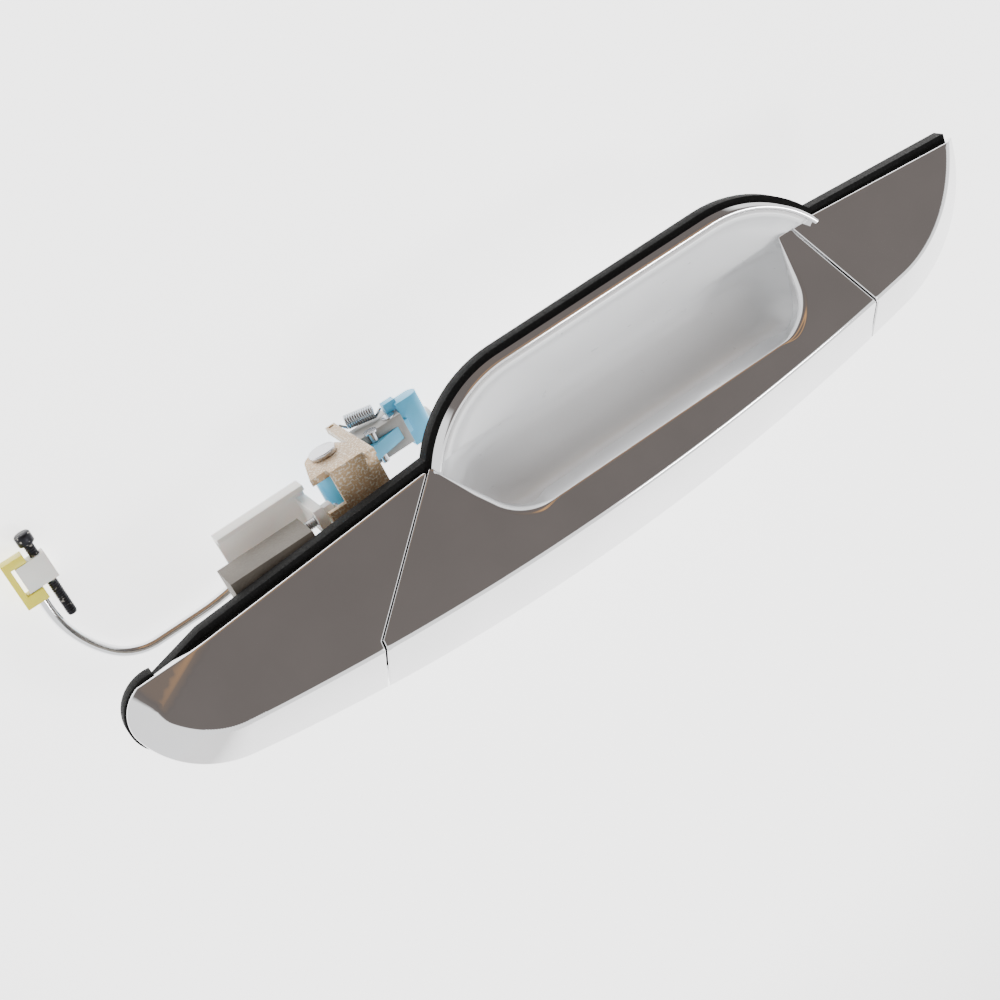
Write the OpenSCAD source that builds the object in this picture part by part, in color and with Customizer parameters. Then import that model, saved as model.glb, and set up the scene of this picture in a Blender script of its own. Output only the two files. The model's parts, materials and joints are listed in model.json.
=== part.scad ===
// Chromed outside pull handle for a vehicle's rear side door: bezel with a finger cup, a flap grip,
// and behind the door skin a bell crank that pulls a latch rod. Millimetres.
// The origin is midway between the two fixing screws, on the face that meets the door skin.
// +X runs to the rounded nose, +Y up the door, +Z out of the door.

/* [Outline] */
// Radius of the long convex upper edge
edge_r = 600; // [500:10:900]
// Place along X of the convex edge's highest point
edge_x = 18; // [0:1:30]
// Height in Y of the convex edge's highest point
edge_y = 30; // [28:0.5:34]
// Radius of the rounded nose
nose_r = 30; // [26:1:34]
// Place along X of the nose's centre
nose_x = 125; // [110:1:150]
// Radius of the corner under the nose
chin_r = 11; // [8:0.5:13]
// Radius of the slimmer tip
tip_r = 42; // [38:1:46]
// Place along X of the tip's centre
tip_x = -90; // [-115:1:-80]
// Height in Y of the corners where the arch leaves the wings
chord_y = -22; // [-24:0.5:-20]
// Angle by which the nose wing's lower edge rises
nose_wing_a = 3.7; // [2:0.1:5]
// Angle by which the tip wing's lower edge rises
tip_wing_a = 4.6; // [3:0.1:6]

/* [Arch and finger cup] */
// Place along X of the arch's middle
arch_x = -15; // [-20:1:-10]
// Half the distance between the centres of the arch's shoulders
arch_half = 35; // [25:1:45]
// Outer radius of the arch's shoulders
arch_r = 36; // [34:0.5:38]
// Height in Y of the shoulders' centres
arch_y = -2.3; // [-4:0.1:0]
// Height in Z of the arch's rim above the door
rim_z = 9; // [8:0.5:11]
// Thickness of the arch's wall
rim_wall = 1.5; // [1.2:0.1:2]
// Depth of the cup's floor below the door's face
cup_depth = 14; // [10:0.5:16]
// Thickness of the cup's wall
cup_wall = 2; // [1.5:0.1:2.5]
// Half the length between the floor's round ends
floor_half = 42; // [32:1:50]
// Radius of the floor's round ends
floor_r = 11.5; // [9:0.5:12]
// Place in Y of the cup's straight back wall
cup_back = 10; // [8:0.5:10.5]

/* [Front faces] */
// Height in Z of the front face along the chord
face_z = 5.8; // [5.2:0.1:6.5]
// Tilt of the front face
face_a = 20; // [16:0.5:22]
// Tilt of the sloping band along the convex edge
band_a = 37.4; // [34:0.2:42]
// Height in Z where the sloping band starts
band_z = 5; // [4.8:0.1:6]
// Thickness of the moulded skin
skin = 2.4; // [1.8:0.1:2.6]

/* [Gasket and base] */
// Thickness of the gasket
gasket_t = 4.5; // [3:0.1:4.7]
// Overhang of the gasket beyond the lower edges
gasket_out = 2; // [0.5:0.1:3]
// Inset of the gasket from the convex edge
gasket_in = 2; // [1.8:0.1:3]
// Width of the gasket's ring along the lower edges
gasket_w = 4.4; // [3.5:0.1:6]
// Width of the gasket's ring along the convex edge
gasket_edge_w = 3; // [2.5:0.1:4]
// Thickness of the base plate
plate_t = 3.4; // [3:0.1:4]
// Distance between the two fixing screws
fix_span = 206; // [190:1:216]
// Outer radius of the screw bosses
boss_r = 6.5; // [5.5:0.5:8]
// Depth of the screw bosses below the door's face
boss_depth = 8; // [6:0.5:12]
// Radius of the threaded hole in the inserts
insert_hole_r = 2.5; // [2:0.25:3.5]
// Outer radius of the threaded inserts
insert_r = 4; // [3.25:0.25:4.5]

/* [Grip] */
// Gap at the grip's seams
seam_gap = 0.4; // [0.3:0.05:1]
// Place in Y of the grip's lip
lip_y = 2; // [0:0.5:4]
// Thickness of the lip
lip_t = 5.5; // [4:0.5:6.5]
// Place in Y of the hinge
hinge_y = 16; // [15:0.5:17]
// Height in Z of the hinge
hinge_z = 2; // [1:0.5:3]
// Radius of the hinge pins
hinge_pin_r = 1.5; // [1:0.1:1.8]
// Radius of the grip's knuckles
knuckle_r = 3.2; // [2.8:0.1:3.4]
// Width of each knuckle
knuckle_w = 6; // [4:0.5:8]
// Place along X of the plain knuckle
tip_knuckle_x = -62; // [-66:1:-58]
// Place along X of the knuckle that carries the drive arm
arm_x = 53.5; // [50:0.5:54]
// Thickness of the drive arm's plates
arm_t = 4; // [3:0.5:5]
// Radius of the drive arm's round end
arm_end_r = 3.5; // [3:0.1:4]

/* [Bell crank] */
// Place along X of the crank's pivot
pivot_x = 70; // [68:1:74]
// Height in Z of the crank's pivot
pivot_z = -20; // [-24:0.5:-18]
// Radius of the pivot pin
pivot_r = 2.5; // [2:0.1:3]
// Wall of the metal bush round the pivot pin
bush_wall = 1; // [0.6:0.1:1.4]
// Radius of the crank's hub
hub_r = 6; // [5:0.5:7]
// Reach of the crank's finger from the pivot
finger_reach = 31; // [28:0.5:33]
// Drop of the crank's finger below the pivot
finger_drop = 10; // [8:0.5:12]
// Radius of the finger's round end
finger_r = 2.6; // [2:0.1:3]
// Gap between the finger and the drive arm when closed
finger_gap = 0.5; // [0.3:0.1:0.8]
// Length of the balance weight
weight_l = 13.5; // [10:0.5:15]
// Height of the balance weight
weight_h = 10; // [8:0.5:10]

/* [Latch rod] */
// Radius of the latch rod
rod_r = 1.5; // [1.2:0.1:2]
// Drop of the rod's eye below the pivot
rod_drop = 15.5; // [12:0.5:17]
// Distance of the rod's eye ahead of the pivot
rod_ahead = 5; // [3:0.5:6]
// Length of the rod's first straight
rod_run = 44; // [35:1:50]
// Length of the rod's straight before the turn
rod_turn_run = 14; // [10:1:18]
// Length of the threaded stud
stud_l = 24; // [18:1:28]
// Radius of the threaded stud
stud_r = 1.5; // [1.2:0.1:2]

/* [Fits] */
// Radial running clearance of the pins and bushes
run_fit = 0.05; // [0.02:0.01:0.1]
// Gap between pieces that are fixed together
fix_fit = 0.02; // [0.01:0.01:0.05]
// Gap round parts that seat loosely
seat_gap = 0.3; // [0.2:0.05:0.6]

/* [Hidden] */
$fn = 96;
far = 400;
thin = 0.01;
edge_cy = edge_y - edge_r;
function centre_y(x, r) = edge_cy + sqrt(pow(edge_r - r, 2) - pow(x - edge_x, 2));
nose_y = centre_y(nose_x, nose_r);
tip_y = centre_y(tip_x, tip_r);
corner = sqrt(pow(arch_r, 2) - pow(chord_y - arch_y, 2)) + arch_half;
chin_y = chord_y + (nose_x - arch_x - corner) * tan(nose_wing_a) + chin_r / cos(nose_wing_a) + 0.8;
chin_x = nose_x + sqrt(pow(nose_r - chin_r, 2) - pow(chin_y - nose_y, 2));
edge_c = [edge_x, edge_cy];
nose_c = [nose_x, nose_y];
chin_c = [chin_x, chin_y];
tip_c = [tip_x, tip_y];
function bearing(a, b) = atan2(b.y - a.y, b.x - a.x);
tip_a = bearing(edge_c, tip_c);
nose_a = bearing(edge_c, nose_c);
chin_a = bearing(nose_c, chin_c);
chin_end_a = -74;
tip_start_a = 200;
foot = [[arch_x, -55], [tip_x - 5, -55]];
band_run = 20;
plate_z = 0.6;
plate_top = plate_z + plate_t;
face_slope = tan(face_a);
band_slope = tan(band_a);

// Seams of the grip: lower corner, crease and convex edge
seam_nose = [[arch_x + corner - 3.1, chord_y - 4], [87.6, 7.4], [93, 40]];
seam_tip = [[-72, chord_y - 4], [-84.6, 8], [-82.5, 40]];

// Bracket
ear_t = 2;
ear_out = -32;
ear_in = -8;
deck_z = -6;
crank_y0 = ear_out + ear_t + seat_gap;
crank_y1 = ear_in - ear_t - seat_gap;

// Crank
finger_x = pivot_x - finger_reach;
finger_z = pivot_z - finger_drop;
finger_y0 = -30;
finger_y1 = -16;
weight_x1 = finger_x + 5.5;
weight_y0 = -28;
weight_y1 = -18.5;
eye_x = pivot_x - rod_ahead;
eye_z = pivot_z - rod_drop;
eye_y = -18.5;
eye_arm_t = 3.4;
eye_r = 5;
rod_bush_wall = 0.9;

// Drive arm
arm_end_y = -17.5;
arm_end_z = finger_z - finger_r - arm_end_r - finger_gap;
arm_foot_x = finger_x - 2.8;

// Latch rod
hook_l = 6.5;
hook_bend = 4;
rod_a1 = 8;
rod_a2 = 50;
rod_a3 = 90;
rod_bend1 = 60;
rod_bend2 = 16;
rod_bend3 = 32;

// Lip of the grip
lip_nose_x = 42;
lip_nose_r = 16;
lip_tip_x = 38.5;
lip_tip_r = 12;
grip_z = band_z + 0.5;

// Carrier inside the grip
carrier_z = grip_z + 0.4;
carrier_t = 3;
tower_w = 3.5;
jog_z = -27;
jog_t = 4;
cap_t = 1;
spring_x = -54;
spring_w = 8.5;
grip_coil_r = 2.4;
pin_spans = [[tip_knuckle_x - knuckle_w / 2 - tower_w, spring_x + spring_w + 4],
    [arm_x - knuckle_w / 2 - tower_w, arm_x + knuckle_w / 2 + tower_w]];

// Fasteners and stops
screw_r = 1.5;
screw_boss_r = 3;
screw_places = [[-112, -6], [-92, -12], [118, -8], [100, 12]];
rivet_r = 1.6;
guide_r = 1.5;
guide_y = -20;
guide_z = -12;
guide_nut_x = 76.4;
block_x = 86;
block_l = 26;
standoff_r = 4;
standoff_x = [65, 76];
standoff_y = -13.5;
stop_places = [[-76, -4], [70, 4]];
weight_rivet_x = [finger_x + 8.5, finger_x + 15.5];

// Crank spring, from the lug on the crank to the bracket's tail
spring_a = [finger_x + 8.5, -30.4, finger_z - 0.5];
spring_b = [59.5, -31, -35.5];
spring_len = norm([spring_b.x - spring_a.x, 0, spring_b.z - spring_a.z]);
spring_tilt = -atan2(spring_b.z - spring_a.z, spring_b.x - spring_a.x);

// Points along the rod's centre line, from the hook
hook_y = eye_y + 1.4;
function turn_right(p, h, r, a) = p + r * [sin(h) - sin(h - a), cos(h - a) - cos(h)];
rod_p0 = turn_right([0, 0], 90, hook_bend, 90 - rod_a1);
rod_p1 = rod_p0 + rod_run * [cos(rod_a1), sin(rod_a1)];
rod_p2 = turn_right(rod_p1, rod_a1, rod_bend1, rod_a1);
rod_p3 = rod_p2 + [rod_turn_run, 0];
rod_p4 = turn_right(rod_p3, 0, rod_bend2, rod_a2);
rod_p5 = turn_right(rod_p4, -rod_a2, rod_bend3, rod_a3 - rod_a2);
rod_tail = 9;
clip_at = [eye_x + rod_p5.x, hook_y + rod_p5.y - 5, eye_z];
stud_off = [-4.8, 0, -0.6];

// ---- helpers ----

module cyl_x(r, l) {
    rotate([0, 90, 0]) cylinder(r = r, h = l);
}

module cyl_y(r, l) {
    rotate([-90, 0, 0]) cylinder(r = r, h = l);
}

// Points along an arc about c, leaving out its first point
function arc_points(c, r, a0, a1, n) =
    [for (i = [1:n]) let (a = a0 + (a1 - a0) * i / n) c + r * [cos(a), sin(a)]];

function edge_points(o) = arc_points(edge_c, edge_r - o, tip_a, nose_a, 72);

function nose_points(o) = arc_points(nose_c, nose_r - o, nose_a, chin_a, 20);

function chin_points(o) = arc_points(chin_c, chin_r - o, chin_a, chin_end_a, 14);

function tip_points(o) = arc_points(tip_c, tip_r - o, tip_start_a, tip_a, 24);

// Half plane above the wings' lower edges, moved inwards by o
module wing_half(o) {
    y = chord_y + o;
    right = arch_x + corner;
    left = arch_x - corner;
    polygon([[left, y], [right, y], [right + far, y + far * tan(nose_wing_a)], [right + far, far],
        [left - far, far], [left - far, y + far * tan(tip_wing_a)]]);
}

// Region inside the convex edge, nose and tip, moved inwards by o and left long below
module convex_side(o) {
    polygon(concat(edge_points(o), nose_points(o), chin_points(o), foot, tip_points(o)));
}

module stadium(half, r) {
    for (s = [-1, 1]) translate([s * half, 0]) circle(r = r);
    square([2 * half, 2 * r], center = true);
}

module arch(o) {
    polygon(concat(arc_points([arch_x + arch_half, arch_y], arch_r - o, 4.5, -90, 21),
        arc_points([arch_x - arch_half, arch_y], arch_r - o, -85.5, -180, 21)));
}

// Whole footprint, with an inset for the convex edge and one for the lower edges
module footprint(o_edge, o_low) {
    intersection() {
        convex_side(o_edge);
        wing_half(o_low);
    }
    arch(o_low);
}

// Half space under the tilted front face, lowered by d
module below_face(d) {
    translate([0, chord_y, face_z - d]) rotate([face_a, 0, 0])
        translate([-far, -far, -2 * far]) cube([2 * far, 2 * far, 2 * far]);
}

// Solid below the tilted front face and inside the sloping band; o moves both inwards
module wedge(o) {
    inset = o / sin(band_a);
    intersection() {
        hull() {
            linear_extrude(band_z) convex_side(inset);
            translate([0, 0, band_z + (band_run - inset) * band_slope]) linear_extrude(thin)
                polygon(concat(edge_points(band_run), nose_points(band_run), foot, tip_points(band_run)));
            translate([chin_x, chin_y, band_z + (chin_r - inset - 1) * band_slope])
                cylinder(r = 1, h = thin);
        }
        below_face(o / cos(face_a));
    }
}

// Plan of the opening between the rim and the grip's lip, made smaller by o
module hand_opening(o) {
    hull() {
        translate([arch_x + lip_nose_x, lip_y - lip_nose_r]) circle(r = lip_nose_r - o);
        translate([arch_x - lip_tip_x, lip_y - lip_tip_r]) circle(r = lip_tip_r - o);
        translate([arch_x + 68 - o, chord_y - 4]) circle(r = thin);
        translate([arch_x - 54.5 + o, chord_y - 4]) circle(r = thin);
    }
    translate([arch_x - 54.5 + o, chord_y - 44]) square([122.5 - 2 * o, 40]);
}

// Plan between the grip's seams, with each seam moved inwards by o
module seam_plan(o) {
    polygon([seam_nose[0] - [o, 0], seam_nose[1] - [o, 0], seam_nose[2] - [o, 0],
        seam_tip[2] + [o, 0], seam_tip[1] + [o, 0], seam_tip[0] + [o, 0]]);
}

module grip_plan(o) {
    difference() {
        seam_plan(o);
        hand_opening(-o);
    }
}

// The finger cup's bowl, made larger all round by o
module bowl(o, top) {
    hull() {
        translate([0, 0, top - 3]) linear_extrude(3) intersection() {
            translate([arch_x, arch_y]) stadium(arch_half, arch_r - rim_wall - cup_wall + o);
            translate([-far, -far]) square([2 * far, far + cup_back + o]);
        }
        translate([arch_x, cup_back - floor_r, -cup_depth - o]) linear_extrude(1)
            stadium(floor_half, floor_r + o);
    }
}

// Round wire wound along the X axis, with straight ends of lengths down and up
module coil_x(r, wire, turns, length, down, up) {
    sides = 8;
    steps = ceil(turns * 14);
    function ring(i, shift) = [for (k = [0:sides - 1])
        let (a = 360 * turns * i / steps, b = 360 * k / sides, q = r + wire * cos(b))
        [length * i / steps + wire * sin(b), q * cos(a), q * sin(a) + shift]];
    points = concat(ring(0, -down), [for (i = [0:steps]) each ring(i, 0)], ring(steps, up));
    skin_faces = [for (i = [0:steps + 1]) for (k = [0:sides - 1]) let (m = (k + 1) % sides)
        [i * sides + k, i * sides + m, (i + 1) * sides + m, (i + 1) * sides + k]];
    first = [for (k = [sides - 1:-1:0]) k];
    last = [for (k = [0:sides - 1]) (steps + 2) * sides + k];
    polyhedron(points, concat(skin_faces, [first], [last]));
}

// Round bar from point a to point b
module bar(a, b, r) {
    d = b - a;
    translate(a) rotate([0, acos(d.z / norm(d)), atan2(d.y, d.x)]) cylinder(r = r, h = norm(d));
}

// ---- fixed pieces ----

module bezel() {
    color([0.8, 0.81, 0.83]) {
        difference() {
            intersection() {
                wedge(0);
                translate([0, 0, gasket_t]) linear_extrude(30) wing_half(0);
            }
            intersection() {
                wedge(skin);
                translate([0, 0, gasket_t - 1]) linear_extrude(30) wing_half(skin);
            }
            linear_extrude(60) seam_plan(0);
        }
        translate([0, 0, gasket_t]) linear_extrude(rim_z - gasket_t) difference() {
            arch(0);
            arch(rim_wall);
            translate([-far, chord_y + 0.3]) square([2 * far, far]);
        }
        for (s = [-1, 1]) translate([arch_x + s * (corner + 4), chord_y + 2.6, gasket_t + 0.4])
            cube([11, 4, 0.8], center = true);
        for (p = screw_places) translate([p.x, p.y, plate_top]) difference() {
            cylinder(r = screw_boss_r, h = 4);
            translate([0, 0, -1]) cylinder(r = screw_r + fix_fit, h = 4.5);
        }
    }
}

module finger_cup() {
    color([0.88, 0.89, 0.9]) difference() {
        bowl(cup_wall - fix_fit, rim_z - 0.4);
        translate([0, 0, thin]) bowl(0, rim_z + 3);
        translate([-far, chord_y - seat_gap, gasket_t - 0.1]) cube([2 * far, far, 20]);
    }
}

module gasket() {
    color([0.1, 0.11, 0.11]) linear_extrude(gasket_t) difference() {
        union() {
            footprint(gasket_in, -gasket_out);
            intersection() {
                polygon(concat([chin_c], arc_points(chin_c, chin_r + 0.5, 50, -100, 20)));
                wing_half(-gasket_out / 2);
            }
        }
        footprint(gasket_in + gasket_edge_w, gasket_w - gasket_out);
        intersection() {
            seam_plan(-1);
            translate([-far, 0]) square(2 * far);
        }
    }
}

module screw_hole(r) {
    translate([0, 0, -40]) cylinder(r = r, h = 80);
}

module base_frame() {
    color([0.36, 0.34, 0.31]) difference() {
        union() {
            translate([0, 0, plate_z]) linear_extrude(plate_t)
                footprint(gasket_in + gasket_edge_w + seat_gap, gasket_w - gasket_out + seat_gap);
            for (s = [-1, 1]) translate([s * fix_span / 2, 0, -boss_depth])
                cylinder(r = boss_r, h = boss_depth + plate_top);
            for (x = [tip_knuckle_x, arm_x]) translate([x - knuckle_w / 2 - tower_w, hinge_y, hinge_z])
                cyl_x(knuckle_r + 0.4, knuckle_w + 2 * tower_w);
            for (x = standoff_x) translate([x, standoff_y, deck_z])
                cylinder(r = standoff_r, h = plate_top - deck_z);
            translate([block_x, -22.6, -15]) cube([block_l, 10.6, 13.5]);
            translate([block_x, -14.4, -2]) cube([block_l, 2.4, 2.8]);
        }
        bowl(cup_wall + seat_gap, rim_z - 0.4);
        for (s = [-1, 1]) translate([s * fix_span / 2, 0, -boss_depth - 1])
            cylinder(r = insert_r + fix_fit, h = boss_depth + 1 + plate_top - 1.5);
        for (x = [tip_knuckle_x, arm_x]) {
            translate([x - 12, hinge_y, hinge_z]) cyl_x(hinge_pin_r + fix_fit, 34);
            translate([x - knuckle_w / 2 - seat_gap, hinge_y - knuckle_r - 1.2, -20])
                cube([knuckle_w + 2 * seat_gap, 2 * knuckle_r + 1.8, 40]);
        }
        translate([arm_x - knuckle_w / 2 - seat_gap, 8, -20]) cube([knuckle_w + 2 * seat_gap, 8, 40]);
        translate([spring_x - 1, hinge_y - 3.6, -20]) cube([spring_w + 2, 7.2, 40]);
        for (p = pin_spans) translate([p[0] - 1, hinge_y, hinge_z]) cyl_x(hinge_pin_r + 0.8 + seat_gap, 1);
        for (p = screw_places) translate([p.x, p.y, 0]) screw_hole(screw_r + 0.2);
        for (x = standoff_x) translate([x, standoff_y, deck_z - 1]) cylinder(r = rivet_r + fix_fit, h = 7);
        for (p = stop_places) translate([p.x, p.y, plate_top - 1.5]) cylinder(r = 2 + fix_fit, h = 3);
        translate([block_x - 1, guide_y, guide_z]) cyl_x(guide_r + fix_fit, 15);
    }
}

module threaded_inserts() {
    color([0.75, 0.6, 0.3]) for (s = [-1, 1]) translate([s * fix_span / 2, 0, -boss_depth]) difference() {
        cylinder(r = insert_r, h = boss_depth + 1);
        translate([0, 0, -1]) cylinder(r = insert_hole_r, h = boss_depth + 1.5);
    }
}

module bezel_screws() {
    color([0.5, 0.5, 0.52]) for (p = screw_places) translate([p.x, p.y, 0]) {
        translate([0, 0, plate_z - 1.8]) difference() {
            cylinder(r = 2.8, h = 1.8 - fix_fit);
            translate([0, 0, -1]) cylinder(r = 1.3, h = 2, $fn = 6);
        }
        translate([0, 0, plate_z - 0.5]) cylinder(r = screw_r - fix_fit, h = plate_t + 2.4);
    }
}

module bump_stops() {
    color([0.08, 0.08, 0.08]) for (p = stop_places) translate([p.x, p.y, plate_top - 1.5])
        cylinder(r1 = 2, r2 = 1.6, h = 2.5);
}

module hinge_pins() {
    color([0.7, 0.7, 0.72]) for (p = pin_spans) translate([p[0], hinge_y, hinge_z]) {
        cyl_x(hinge_pin_r, p[1] - p[0]);
        translate([-0.8, 0, 0]) cyl_x(hinge_pin_r + 0.8, 0.8);
    }
}

module grip_spring() {
    color([0.6, 0.62, 0.64]) translate([spring_x, hinge_y, hinge_z]) {
        coil_x(grip_coil_r, 0.45, 7, spring_w, 4, carrier_z - hinge_z - 0.1);
    }
}

module crank_bracket() {
    color([0.72, 0.6, 0.38]) difference() {
        union() {
            translate([60, ear_out, deck_z - ear_t]) cube([19, ear_in - ear_out, ear_t]);
            for (y = [ear_out, ear_in - ear_t]) hull() {
                translate([60, y, deck_z - ear_t]) cube([19, ear_t, ear_t]);
                translate([pivot_x, y, pivot_z]) cyl_y(6, ear_t);
            }
            translate([60, ear_out, -37]) cube([3, ear_t, 33]);
        }
        translate([pivot_x, ear_out - 1, pivot_z]) cyl_y(pivot_r + fix_fit, 40);
        translate([73.5, ear_out - 1, deck_z - ear_t - 1]) cube([8, 11, 4]);
        for (x = standoff_x) translate([x, standoff_y, deck_z - 4]) cylinder(r = rivet_r + fix_fit, h = 6);
        translate([61.5, ear_out - 1, -35.5]) cyl_y(0.8, 4);
    }
}

module bracket_rivets() {
    color([0.62, 0.62, 0.64]) for (x = standoff_x) translate([x, standoff_y, 0]) {
        translate([0, 0, deck_z - ear_t - 1.4]) cylinder(r = 3, h = 1.4 - fix_fit);
        translate([0, 0, deck_z - ear_t - 1]) cylinder(r = rivet_r, h = ear_t + 6.8);
    }
}

module pivot_pin() {
    color([0.75, 0.76, 0.78]) translate([pivot_x, 0, pivot_z]) difference() {
        union() {
            translate([0, ear_out - 1.6, 0]) cyl_y(4, 1.6 - fix_fit);
            translate([0, ear_out - 1, 0]) cyl_y(pivot_r, ear_in - ear_out + 4);
        }
        translate([0, ear_in + 0.6, 0]) rotate([-90, 0, 0]) difference() {
            cylinder(r = 5, h = 0.8);
            cylinder(r = pivot_r - 0.6, h = 0.8);
        }
    }
}

module pivot_clip() {
    color([0.2, 0.2, 0.22]) translate([pivot_x, ear_in + 0.65, pivot_z]) rotate([-90, 0, 0]) difference() {
        cylinder(r = 5, h = 0.7);
        translate([0, 0, -1]) cylinder(r = pivot_r - 0.55, h = 3);
        translate([-1.6, 0, -1]) cube([3.2, 10, 3]);
    }
}

module crank_spring() {
    color([0.62, 0.64, 0.67]) translate(spring_a) rotate([0, spring_tilt, 0]) {
        translate([2.4, 0, 0]) coil_x(1.8, 0.4, 12, spring_len - 4.8, thin, thin);
        bar([0, 0, 0], [2.4, 1.8, 0], 0.4);
        bar([spring_len, 0, 0], [spring_len - 2.4, 1.8, 0], 0.4);
    }
}

module guide_screw() {
    color([0.72, 0.72, 0.7]) translate([guide_nut_x - 1.5, guide_y, guide_z])
        cyl_x(guide_r, block_x - guide_nut_x + 14);
}

module guide_nut() {
    color([0.86, 0.86, 0.84]) translate([guide_nut_x, guide_y, guide_z]) rotate([0, 90, 0]) difference() {
        cylinder(r = 3.2, h = 3, $fn = 6);
        translate([0, 0, -1]) cylinder(r = guide_r + fix_fit, h = 5);
    }
}

module rod_guide() {
    color([0.92, 0.92, 0.9]) difference() {
        union() {
            translate([guide_nut_x + 3, -28, -26]) cube([28, 12, 1.8]);
            translate([guide_nut_x + 3, -28, -26]) cube([28, 1.6, 6]);
            translate([guide_nut_x + 3, -24, -26]) cube([3, 8, 17.4]);
        }
        translate([guide_nut_x, guide_y, guide_z]) cyl_x(guide_r + fix_fit, 10);
    }
}

// ---- grip ----

module grip_shell() {
    color([0.82, 0.83, 0.85]) difference() {
        intersection() {
            wedge(0);
            translate([0, 0, grip_z]) linear_extrude(30) intersection() {
                wing_half(0);
                grip_plan(seam_gap);
            }
        }
        intersection() {
            wedge(skin);
            translate([0, 0, grip_z - 1]) linear_extrude(30) intersection() {
                wing_half(skin);
                seam_plan(skin + seam_gap);
                translate([-far, lip_y + lip_t]) square([2 * far, far]);
            }
        }
        intersection() {
            linear_extrude(30) hand_opening(-lip_t);
            below_face(lip_t);
        }
    }
}

module carrier_ring(o0, o1) {
    intersection() {
        difference() {
            translate([edge_x, edge_cy]) circle(r = edge_r - o0, $fn = 720);
            translate([edge_x, edge_cy]) circle(r = edge_r - o1, $fn = 720);
        }
        seam_plan(skin + seam_gap + 1);
        translate([-76, lip_y + lip_t + seat_gap]) square([154, far]);
    }
}

module grip_carrier() {
    color([0.12, 0.12, 0.13]) difference() {
        union() {
            translate([0, 0, carrier_z]) linear_extrude(carrier_t) carrier_ring(11, 17.5);
            for (x = [tip_knuckle_x, arm_x]) {
                translate([x - knuckle_w / 2, hinge_y, hinge_z]) cyl_x(knuckle_r, knuckle_w);
                translate([x - knuckle_w / 2, hinge_y - knuckle_r, hinge_z]) cube([knuckle_w, knuckle_r * 1.6, 5.5]);
            }
            translate([arm_x - arm_t / 2, 0, 0]) rotate([90, 0, 90]) linear_extrude(arm_t)
                polygon([[hinge_y + 2, hinge_z], [hinge_y - 3.2, hinge_z + 1], [2, jog_z + 7], [2, jog_z],
                    [hinge_y - 4, jog_z]]);
            translate([arm_foot_x - arm_t / 2, 2, jog_z]) cube([arm_x - arm_foot_x, 7, jog_t]);
            translate([arm_foot_x - arm_t / 2, 0, 0]) rotate([90, 0, 90]) linear_extrude(arm_t)
                polygon([[9, jog_z], [9, jog_z + jog_t], [2, jog_z + 1], [arm_end_y + 1, arm_end_z + arm_end_r - 1],
                    [arm_end_y - 1, arm_end_z - arm_end_r + 1], [2, jog_z - 4]]);
            translate([arm_foot_x - arm_t / 2, arm_end_y, arm_end_z]) cyl_x(arm_end_r - cap_t, arm_t);
        }
        for (x = [tip_knuckle_x, arm_x]) translate([x - 12, hinge_y, hinge_z]) cyl_x(hinge_pin_r + run_fit, 24);
        translate([arm_foot_x - arm_t, arm_end_y, arm_end_z]) difference() {
            cyl_x(arm_end_r + 0.6, 3 * arm_t);
            translate([-1, 0, 0]) cyl_x(arm_end_r - cap_t, 3 * arm_t + 2);
            translate([-1, 0, -10]) cube([30, 20, 10 + 0.1]);
        }
    }
}

module arm_cap() {
    color([0.9, 0.9, 0.86]) translate([arm_foot_x - arm_t / 2, arm_end_y, arm_end_z]) difference() {
        cyl_x(arm_end_r, arm_t);
        translate([-1, 0, 0]) cyl_x(arm_end_r - cap_t + fix_fit, arm_t + 2);
        translate([-1, -0.05, -10]) cube([30, 20, 10 + 0.2]);
    }
}

module grip_screws() {
    color([0.5, 0.5, 0.52]) for (x = [-30, 25]) translate([x, edge_cy + sqrt(pow(edge_r - 15, 2) - pow(x - edge_x, 2)), 0]) {
        translate([0, 0, carrier_z - 1.2]) cylinder(r = 2.2, h = 1.2 - fix_fit);
    }
}

// ---- bell crank ----

module bell_crank() {
    color([0.25, 0.66, 0.82]) difference() {
        union() {
            translate([pivot_x, crank_y0, pivot_z]) cyl_y(hub_r, crank_y1 - crank_y0);
            translate([0, weight_y0 + 3, 0]) rotate([90, 0, 0]) mirror([0, 0, 1]) linear_extrude(4)
                polygon([[pivot_x, pivot_z + 3], [pivot_x, pivot_z - 4], [finger_x + 4, finger_z - 2.6],
                    [finger_x + 4, finger_z + 3.6]]);
            translate([finger_x, finger_y0, finger_z]) cyl_y(finger_r, finger_y1 - finger_y0);
            translate([finger_x, finger_y0, finger_z]) cube([5, finger_y1 - finger_y0, finger_r]);
            translate([finger_x, finger_y0, finger_z - finger_r]) cube([5, finger_y1 - finger_y0, 2 * finger_r]);
            hull() {
                translate([pivot_x, eye_y - eye_arm_t, pivot_z]) cyl_y(hub_r - 1, eye_arm_t);
                translate([eye_x, eye_y - eye_arm_t, eye_z]) cyl_y(eye_r, eye_arm_t);
            }
            translate([finger_x + 4, -31.2, finger_z - 2]) cube([4, 3, 3]);
        }
        translate([pivot_x, crank_y0 - 1, pivot_z]) cyl_y(pivot_r + bush_wall + fix_fit, 40);
        translate([eye_x, eye_y - 10, eye_z]) cyl_y(rod_r + rod_bush_wall + fix_fit, 20);
        for (x = weight_rivet_x) translate([x, -40, finger_z + (x - finger_x) * 0.32]) cyl_y(1.2 + fix_fit, 40);
    }
}

module pivot_bush() {
    color([0.7, 0.62, 0.42]) translate([pivot_x, crank_y0 - 0.15, pivot_z]) difference() {
        cyl_y(pivot_r + bush_wall, crank_y1 - crank_y0 + 0.3);
        translate([0, -1, 0]) cyl_y(pivot_r + run_fit, 40);
    }
}

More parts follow.
